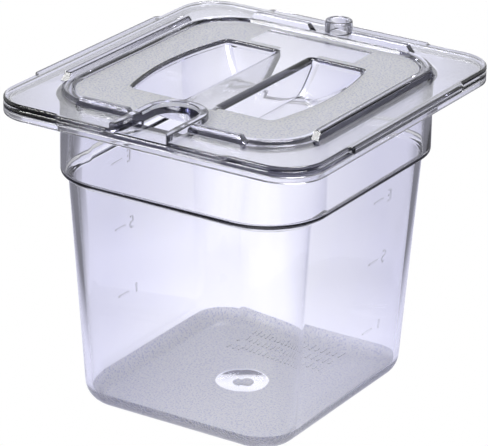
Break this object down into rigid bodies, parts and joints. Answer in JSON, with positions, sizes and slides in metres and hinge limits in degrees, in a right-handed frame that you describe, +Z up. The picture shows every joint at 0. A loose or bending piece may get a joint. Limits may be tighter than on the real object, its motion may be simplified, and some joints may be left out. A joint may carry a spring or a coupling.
{
  "type": "deli food pan with lid",
  "caption": "Clear tapered food pan with a lipped rim and stacking shoulder, and a lift-off lid with a spoon notch, finger-pocket handle, stacking ribs and a hollow peg.",
  "frame": {"origin": "under the middle of the pan, on the surface it stands on", "axes": "+Z up; -Y towards the lid's spoon notch, the front; +X to the right seen from the front"},
  "size_m": [0.1676, 0.1804, 0.1579],
  "materials": {
    "pan_plastic": "clear polycarbonate, glossy, with a fine frosted grain on the floor",
    "lid_plastic": "clear polycarbonate, glossy, with a fine frosted grain on the plateau"
  },
  "bodies": {
    "pan": {"pan": "pan_plastic"},
    "lid": {"lid": "lid_plastic"}
  },
  "joints": [
    {"name": "lid_lift", "type": "slide", "parent": "pan", "child": "lid", "axis": [0, 0, 1], "range_m": [0, 0.08]}
  ]
}
